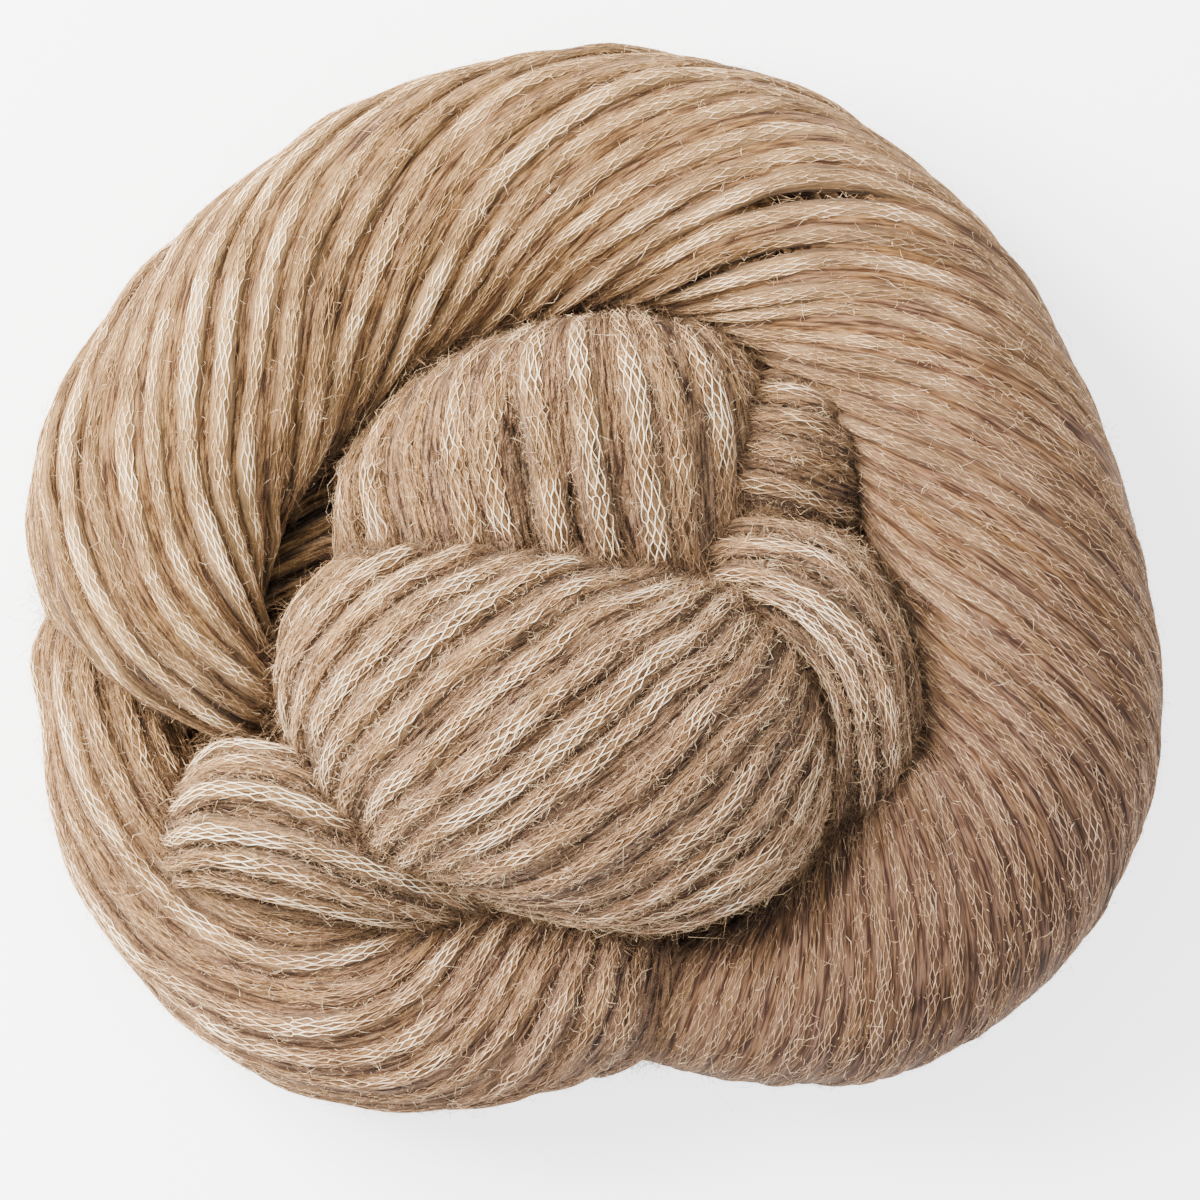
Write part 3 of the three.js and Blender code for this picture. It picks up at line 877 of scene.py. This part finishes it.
def loose_fibres(name, strands, rng, look, material):
    """Bent fibres over a coil's strands: in its grooves, over its tops, and where it meets others, darker
    there as painted shade.
    """
    keys = ["middle", "side", "outward", "tangent", "half_width", "half_height", "depth"]
    all_, _ = joined_lines(strands, keys)
    upward = all_["outward"][:, 2] > FIBRE_FACING
    seen = np.flatnonzero((all_["depth"] < FIBRE_DEPTH) & upward)
    near = (all_["depth"] > SEAM_DEPTHS[0]) & (all_["depth"] < SEAM_DEPTHS[1])
    seams = np.flatnonzero(near & upward)
    total = len(seen) * STRAND_STEP * look["fibres"]
    vertices = []
    light = []
    for kind, row in FIBRES.items():
        fibre = dict(zip(FIBRE_NAMES, row))
        places = seams if kind == "seam" else seen
        count = int(total * fibre["share"])
        pick = places[rng.integers(0, len(places), count)]
        at = {key: value[pick] for key, value in all_.items()}
        vertices.append(bent_fibres(at, fibre, rng))
        own = np.clip(rng.normal(fibre["light"], LIGHT_SPREAD, count), 0, 1)
        # Painted shade: fibres near another coil are darker.
        light.append(own * seam_shade(at["depth"]))
    vertices = np.concatenate(vertices)
    light = np.concatenate(light)
    faces = (np.arange(len(light))[:, None, None] * FIBRE_CORNERS + FIBRE_FACES[None]).reshape(-1, 3)
    attributes = {"cream": np.repeat(light, FIBRE_CORNERS), "warmth": warmth(vertices)}
    add_mesh(name, vertices, [faces], material, attributes, smooth=False)


def fluff(name, coil, others, look, material):
    """The fluff between a coil's strands: its surface drawn in by the fluff's depth, and closed.

    Its two texture coordinates run along the strands, run(s) + t * sin(twist), and across them,
    as the strands' own count does.
    """
    lines = PARTED_LINES if coil.partings else FLUFF_LINES
    rows = np.append(np.arange(0, len(coil.s) - 1, FLUFF_ROWS), len(coil.s) - 1)
    share = np.linspace(-0.5, 0.5, lines, endpoint=False)
    s = np.repeat(coil.s[rows], lines)
    t = np.tile(share, len(rows)) * np.repeat(coil.girth[rows], lines)
    point = coil.point(s, t)
    centre = coil.column(coil.centre, s)
    small = np.minimum(coil.column(coil.wide, s), coil.column(coil.high, s))
    packed = coil.column(coil.packed, s)
    across = coil.count(s, t)
    gap = coil.opened(s, across / coil.pitch)[1]
    depth = look["fluff_depth"]
    depth = depth + (PACKED_FLUFF - depth) * packed + PARTING_DEPTH * gap
    vertices = centre + (point - centre) * np.clip(1 - depth / small, FLUFF_CORE, 1)[:, None]
    along = coil.column(coil.run, s) + t * coil.column(coil.cross, s)
    row = np.arange(len(rows) - 1)[:, None] * lines
    line = np.arange(lines)[None, :]
    following = (line + 1) % lines
    sides = np.stack([row + line, row + lines + line, row + lines + following, row + following],
                     axis=2).reshape(-1, 4)
    final = (len(rows) - 1) * lines + line[:, ::-1]
    # Painted shade: darker near other coils and in the partings' slits, lighter where the strands are
    # packed.
    shade = seam_shade(np.max([other.depth_of(vertices) for other in others], axis=0))
    attributes = {
        "warmth": warmth(vertices),
        "tone": (look["fluff_tone"] * lightness(vertices) * shade * (1 - PARTING_SHADE * gap)
                 * (1 + PACKED["fill"] * packed)),
        "crisp": look["crisp"] * (1 - PACKED["soften"] * packed),
    }
    uv = np.stack([along, across], axis=1)
    add_mesh(name, vertices, [sides, line, final], material, attributes, uv)


def put(tree, node, inputs):
    """Puts plain values, or the outputs of other nodes, into a node's inputs."""
    named = {socket.identifier: socket for socket in node.inputs}
    for key, value in inputs.items():
        socket = node.inputs[key] if isinstance(key, int) else named[key]
        if isinstance(value, bpy.types.NodeSocket):
            tree.links.new(value, socket)
        else:
            socket.default_value = value


def new_node(tree, kind, inputs, operation=None):
    """A node of a kind, with its operation where it has one, and its inputs."""
    node = tree.nodes.new(kind)
    if operation:
        node.operation = operation
    put(tree, node, inputs)
    return node


def arithmetic(tree, kind, *values):
    """The result of a Math node, over other nodes' outputs and plain numbers."""
    return new_node(tree, "ShaderNodeMath", dict(enumerate(values)), kind).outputs[0]


def attribute(tree, name):
    """A value that the mesh carries at its corners."""
    node = new_node(tree, "ShaderNodeAttribute", {})
    node.attribute_name = name
    return node.outputs["Fac"]


def strand_map(tree):
    """The mesh's texture coordinates, in millimetres along and across the strands."""
    node = new_node(tree, "ShaderNodeUVMap", {})
    node.uv_map = "strand"
    return node.outputs["UV"]


def ramp(tree, factor, stops):
    """A colour ramp over a factor, from (position, colour) stops."""
    node = new_node(tree, "ShaderNodeValToRGB", {"Fac": factor})
    elements = node.color_ramp.elements
    while len(elements) < len(stops):
        elements.new(0.5)
    for element, (position, colour) in zip(elements, stops):
        element.position = position
        element.color = (*colour, 1.0)
    return node.outputs["Color"]


def between(tree, name, low, high):
    """A colour that goes from low to high with an attribute."""
    return ramp(tree, attribute(tree, name), [(0.0, low), (1.0, high)])


def mixed(tree, kind, factor, first, second):
    """Two colours mixed or multiplied, by a number or by another node's output."""
    node = tree.nodes.new("ShaderNodeMix")
    node.data_type = "RGBA"
    node.blend_type = kind
    put(tree, node, {"Factor_Float": factor, "A_Color": first, "B_Color": second})
    return next(socket for socket in node.outputs if socket.identifier == "Result_Color")


def stretched_noise(tree, vector, scale, detail, output="Fac"):
    """Noise whose grains are stretched: the vector is multiplied by a scale for each direction."""
    stretch = new_node(tree, "ShaderNodeVectorMath", {0: vector, 1: scale}, "MULTIPLY")
    noise = new_node(tree, "ShaderNodeTexNoise", {
        "Vector": stretch.outputs[0], "Scale": 1.0, "Detail": detail, "Roughness": 0.6})
    return noise.outputs[output]


def fibre_grain():
    """How brushed fibre varies over a surface, from a vector in millimetres.

    Streaks are grains drawn out along the strand, Hairs are finer ones, and Mottle is broad.
    Curls are the thin lines where any of three noises is close to its middle value, which wind
    like loose hair, as the vector is pushed to and fro for them. They grow in clumps.
    """
    group = bpy.data.node_groups.new("fibre grain", "ShaderNodeTree")
    group.interface.new_socket("Vector", in_out="INPUT", socket_type="NodeSocketVector")
    for name in ("Streaks", "Hairs", "Mottle", "Curls"):
        group.interface.new_socket(name, in_out="OUTPUT", socket_type="NodeSocketFloat")
    vector = group.nodes.new("NodeGroupInput").outputs["Vector"]
    leave = group.nodes.new("NodeGroupOutput").inputs
    grains = {name: stretched_noise(group, vector, scale, 2.0) for name, scale in GRAINS.items()}
    push = stretched_noise(group, vector, PUSH_GRAIN, 0.0, "Color")
    winding = new_node(group, "ShaderNodeVectorMath", {0: push, 1: PUSH, 2: vector}, "MULTIPLY_ADD")
    lines = []
    for scale, thinness in CURLS:
        noise = stretched_noise(group, winding.outputs[0], scale, 1.0)
        off = arithmetic(group, "ABSOLUTE", arithmetic(group, "SUBTRACT", noise, 0.5))
        lines.append(arithmetic(group, "SUBTRACT", 1.0, arithmetic(group, "MULTIPLY", off, thinness)))
    curls = arithmetic(group, "MAXIMUM", arithmetic(group, "MAXIMUM", lines[0], lines[1]), lines[2])
    clumps = arithmetic(group, "MULTIPLY_ADD", grains["Streaks"], *CLUMPS)
    curls = arithmetic(group, "MULTIPLY", curls, arithmetic(group, "MINIMUM", clumps, 1.0))
    grains["Curls"] = arithmetic(group, "MAXIMUM", curls, 0.0)
    for name, grain in grains.items():
        group.links.new(grain, leave[name])
    return group


def new_material(name, roughness, sheen):
    """A material with the soft sheen of yarn, its nodes and its shader."""
    material = bpy.data.materials.new(name)
    material.use_nodes = True
    shader = material.node_tree.nodes["Principled BSDF"]
    put(material.node_tree, shader, {
        "Roughness": roughness, "Specular IOR Level": 0.08, "Sheen Weight": sheen,
        "Sheen Roughness": 0.45, "Sheen Tint": (1.0, 0.88, 0.74, 1.0)})
    return material, material.node_tree, shader


def heathered(tree, grain, warm_sum):
    """The brushed fibre's colours from the strand's map: golden and greyed streaks, and the grain."""
    grained = tree.nodes.new("ShaderNodeGroup")
    grained.node_tree = grain
    tree.links.new(strand_map(tree), grained.inputs["Vector"])
    grains = grained.outputs
    golden = ramp(tree, grains["Streaks"], [
        (0.39, (0.17, 0.083, 0.036)), (0.50, (0.45, 0.222, 0.074)), (0.61, (0.86, 0.490, 0.175))])
    greyed = ramp(tree, grains["Streaks"], [
        (0.39, (0.11, 0.058, 0.044)), (0.50, (0.29, 0.152, 0.104)), (0.61, (0.60, 0.340, 0.220))])
    swing = arithmetic(tree, "MULTIPLY_ADD", grains["Mottle"], 2 * WARM_SWING, -WARM_SWING)
    heather = mixed(tree, "MIX", arithmetic(tree, "ADD", warm_sum, swing), greyed, golden)
    hairs = ramp(tree, grains["Hairs"], [
        (0.37, (0.36, 0.32, 0.29)), (0.50, (0.74, 0.72, 0.70)), (0.61, (1.0, 1.0, 1.0))])
    even = ramp(tree, grains["Hairs"], [(0.0, (0.70, 0.68, 0.65)), (1.0, (0.78, 0.76, 0.73))])
    fine = mixed(tree, "MIX", attribute(tree, "crisp"), even, hairs)
    return mixed(tree, "MULTIPLY", 1.0, heather, fine), grains


def haired(tree, shader, grains, colour, hair, share, height):
    """Puts the colour on the shader, with curled hairs over it, and the finest hairs raised."""
    curls = arithmetic(tree, "MULTIPLY", grains["Curls"], share)
    curls = arithmetic(tree, "MULTIPLY", curls, attribute(tree, "crisp"))
    raised = stretched_noise(tree, strand_map(tree), RAISED_GRAIN, 1.0)
    raised = arithmetic(tree, "MULTIPLY", raised, attribute(tree, "crisp"))
    bump = new_node(tree, "ShaderNodeBump", {
        "Strength": 1.0, "Distance": height * MM, "Height": raised})
    put(tree, shader, {
        "Base Color": mixed(tree, "MIX", curls, colour, hair), "Normal": bump.outputs["Normal"]})


def brushed_fibre(grain):
    """The strand's body: golden to grey-brown fibre, streaked along the strand, with painted shade at its
    sides.
    """
    material, tree, shader = new_material("brushed fibre", 0.92, 0.07)
    # Painted shade: the body turns greyer down its sides, as the warmth falls away from the top.
    warm_top = arithmetic(tree, "MULTIPLY_ADD", attribute(tree, "groove"), *WARM_TOP)
    warm_sum = arithmetic(tree, "ADD", attribute(tree, "warmth"), warm_top)
    heather, grains = heathered(tree, grain, warm_sum)
    ragged = arithmetic(tree, "MULTIPLY_ADD", grains["Streaks"], RAGGED, -RAGGED / 2)
    # Painted shade: a little darker on top, under the net, and much darker down the sides.
    shade = ramp(tree, arithmetic(tree, "ADD", attribute(tree, "groove"), ragged), [
        (0.05, (0.84, 0.79, 0.74)), (0.20, (1.0, 1.0, 1.0)), (0.36, (0.70, 0.66, 0.63)),
        (0.55, (0.42, 0.37, 0.34))])
    shade_share = arithmetic(tree, "MULTIPLY_ADD", attribute(tree, "crisp"), *SHADE_SHARE)
    side_shaded = mixed(tree, "MULTIPLY", shade_share, heather, shade)
    # The lowest tones, mostly from painted shade, are cooler: a painted shadow colour.
    strength = between(tree, "tone", (0.142, 0.146, 0.164), (0.445, 0.440, 0.430))
    toned = mixed(tree, "MULTIPLY", 1.0, side_shaded, strength)
    pale = between(tree, "warmth", (0.42, 0.245, 0.175), (0.68, 0.420, 0.190))
    banded = mixed(tree, "MIX", attribute(tree, "band"), toned, pale)
    hair = between(tree, "warmth", (0.34, 0.195, 0.138), (0.58, 0.340, 0.155))
    haired(tree, shader, grains, banded, hair, share=0.55, height=1.2)
    return material


def fluff_material(grain):
    """The brushed fluff in the grooves: dark brown, partly painted shade, with lighter curled hairs over
    it.
    """
    material, tree, shader = new_material("brushed fluff", 0.95, 0.06)
    warm_sum = arithmetic(tree, "MULTIPLY", attribute(tree, "warmth"), FLUFF_WARMTH)
    heather, grains = heathered(tree, grain, warm_sum)
    # The lowest tones are cooler, a painted shadow colour.
    strength = between(tree, "tone", (0.048, 0.052, 0.065), (0.485, 0.465, 0.465))
    toned = mixed(tree, "MULTIPLY", 1.0, heather, strength)
    hair = between(tree, "warmth", (0.27, 0.158, 0.114), (0.44, 0.272, 0.148))
    haired(tree, shader, grains, toned, hair, share=0.6, height=1.4)
    return material


def thread_material():
    """The net's thread: cream where it lies proud, paler where it faces up as painted light, tan where it
    sinks into the fibre.
    """
    material, tree, shader = new_material("cream net thread", 0.75, 0.15)
    place = new_node(tree, "ShaderNodeTexCoord", {}).outputs["Object"]
    fuzz = stretched_noise(tree, place, FUZZ_GRAIN, 2.0)
    swing = arithmetic(tree, "MULTIPLY_ADD", fuzz, FUZZ, -FUZZ / 2)
    worn = arithmetic(tree, "ADD", attribute(tree, "cream"), swing)
    golden = ramp(tree, worn, [
        (0.04, (0.22, 0.116, 0.047)), (0.34, (0.50, 0.300, 0.135)), (0.62, (0.90, 0.640, 0.370)),
        (0.90, (1.00, 0.850, 0.590))])
    greyed = ramp(tree, worn, [
        (0.04, (0.15, 0.083, 0.052)), (0.34, (0.36, 0.212, 0.136)), (0.62, (0.76, 0.520, 0.360)),
        (0.90, (1.00, 0.840, 0.630))])
    colour = mixed(tree, "MIX", attribute(tree, "warmth"), greyed, golden)
    put(tree, shader, {"Base Color": colour})
    return material


def fibre_material():
    """The loose fibres: brown to cream."""
    material, tree, shader = new_material("loose fibre", 0.8, 0.07)
    colour = ramp(tree, attribute(tree, "cream"), [
        (0.0, (0.10, 0.052, 0.029)), (0.5, (0.39, 0.236, 0.122)), (1.0, (0.86, 0.640, 0.400))])
    put(tree, shader, {"Base Color": colour})
    return material


def net_strength(name, number, rng):
    """How strongly a strand's net shows: as the table says, or else by lot."""
    strength = rng.choice(LOT)
    for first, strengths in STRENGTHS.get(name, {}).items():
        if 0 <= first - number < len(strengths):
            strength = strengths[first - number]
    return strength + rng.uniform(-OWN_STRENGTH, OWN_STRENGTH)


def make_hank():
    """Every coil's strands and fluff, and its net and loose fibres where it has threads."""
    grain = fibre_grain()
    body = brushed_fibre(grain)
    groove = fluff_material(grain)
    thread = thread_material()
    fibre = fibre_material()
    coils = [Coil(name, **table) for name, table in COILS.items()]
    for order, coil in enumerate(coils):
        rng = np.random.default_rng(SEED + order)
        others = [other for other in coils if other is not coil]
        look = dict(zip(LOOK_NAMES, LOOKS[coil.name]))
        laid = lay_strands(coil, others, look["fluff_depth"], rng)
        strands = [shape_strand(strand) for strand in laid]
        for strand in strands:
            strand["own_tone"] = rng.uniform(*OWN_TONE) * look["tone"]
            strand["own_shift"] = rng.uniform(0, OWN_SHIFT)
            strength = net_strength(coil.name, strand["number"], rng)
            strength = strength + wander(rng, strand["distance"], 32.0, 0.40)
            strand["strong"] = strength + PROUD_NET * (strand["rise"] - MEAN_RISE)
        strand_bodies(f"{coil.name}_strands", strands, look, body)
        fluff(f"{coil.name}_fluff", coil, others, look, groove)
        if look["threads"]:
            net(f"{coil.name}_net", strands, rng, look, thread)
            loose_fibres(f"{coil.name}_fibres", strands, rng, look, fibre)


def make_floor():
    """A plain pale floor, level with the hank's underside."""
    half = 3.0
    lowest = cad_box[0].z
    mesh = bpy.data.meshes.new("floor")
    corners = [(-half, -half, lowest), (half, -half, lowest), (half, half, lowest), (-half, half, lowest)]
    mesh.from_pydata(corners, [], [(0, 1, 2, 3)])
    material = bpy.data.materials.new("pale floor")
    material.use_nodes = True
    put(material.node_tree, material.node_tree.nodes["Principled BSDF"], {
        "Base Color": (0.93, 0.93, 0.93, 1.0), "Emission Color": (1.0, 1.0, 1.0, 1.0),
        "Emission Strength": 2.0, "Roughness": 0.9})
    mesh.materials.append(material)
    floor = add_object("floor", mesh)


def soft_light(name, place, target, size, power, colour):
    """A square soft lamp at a place, turned to a target."""
    data = bpy.data.lights.new(name, "AREA")
    data.size = size
    data.energy = power
    data.color = colour
    lamp = add_object(name, data)
    lamp.location = place
    aim = np.array(target) - np.array(place)
    lamp.rotation_mode = "QUATERNION"
    lamp.rotation_quaternion = Vector(aim).to_track_quat("-Z", "Y")


def make_light():
    """Soft light from the back left, a weaker fill from the front right, and a pale surround."""
    soft_light("window light", (-0.50, 0.27, 0.42), (0, 0, 0.02), 0.45, 29.0, (1.0, 0.975, 0.94))
    soft_light("fill light", (0.9, -0.6, 1.1), (0, 0, 0.02), 1.0, 6.4, (0.93, 0.96, 1.0))
    world = bpy.data.worlds.new("studio")
    world.use_nodes = True
    put(world.node_tree, world.node_tree.nodes["Background"], {
        "Color": (0.93, 0.965, 1.0, 1.0), "Strength": 2.1})
    bpy.context.scene.world = world


def make_camera():
    """Straight above, with a long lens: its distance makes the photo's square 186 mm wide at
    the height where the coils are widest."""
    frame_width = 0.186
    middle = (0.00062, -0.0031)
    widest_height = 0.020
    lens = 300.0
    sensor = 36.0
    data = bpy.data.cameras.new("camera")
    data.lens = lens
    data.sensor_width = sensor
    data.clip_start = 0.1
    data.clip_end = 10.0
    camera = add_object("camera", data)
    camera.location = (*middle, widest_height + frame_width * lens / sensor)
    bpy.context.scene.camera = camera


make_camera()
make_floor()
make_light()
make_hank()
